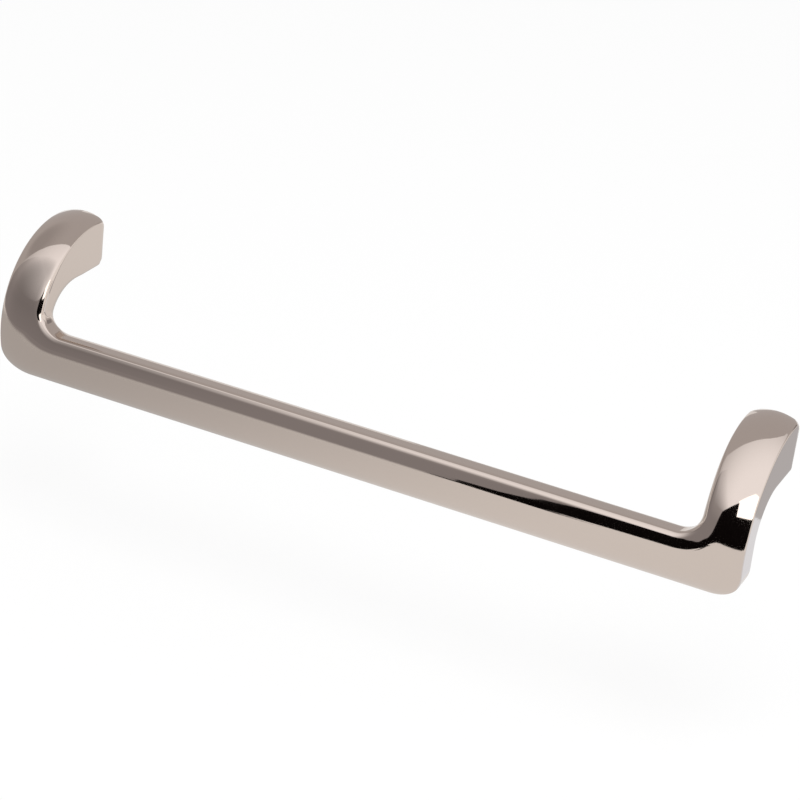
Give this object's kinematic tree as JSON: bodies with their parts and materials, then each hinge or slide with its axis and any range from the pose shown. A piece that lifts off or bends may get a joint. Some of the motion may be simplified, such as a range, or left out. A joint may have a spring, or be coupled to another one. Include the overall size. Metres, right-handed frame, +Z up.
{
  "type": "cabinet pull",
  "caption": "Fixed cabinet pull, cast in one piece: curved legs run forward and down from the feet to a crowned bar that hangs below the screws.",
  "frame": {"origin": "midway between the two screw holes, on the plane of the feet that rests on the cabinet front", "axes": "+X along the bar, +Y into the cabinet front, along the screw holes, +Z up"},
  "size_m": [0.17, 0.0259, 0.0314],
  "materials": {
    "polished_nickel": "mirror-polished nickel plate, slightly warm"
  },
  "bodies": {
    "root": {"pull": "polished_nickel"}
  },
  "joints": []
}
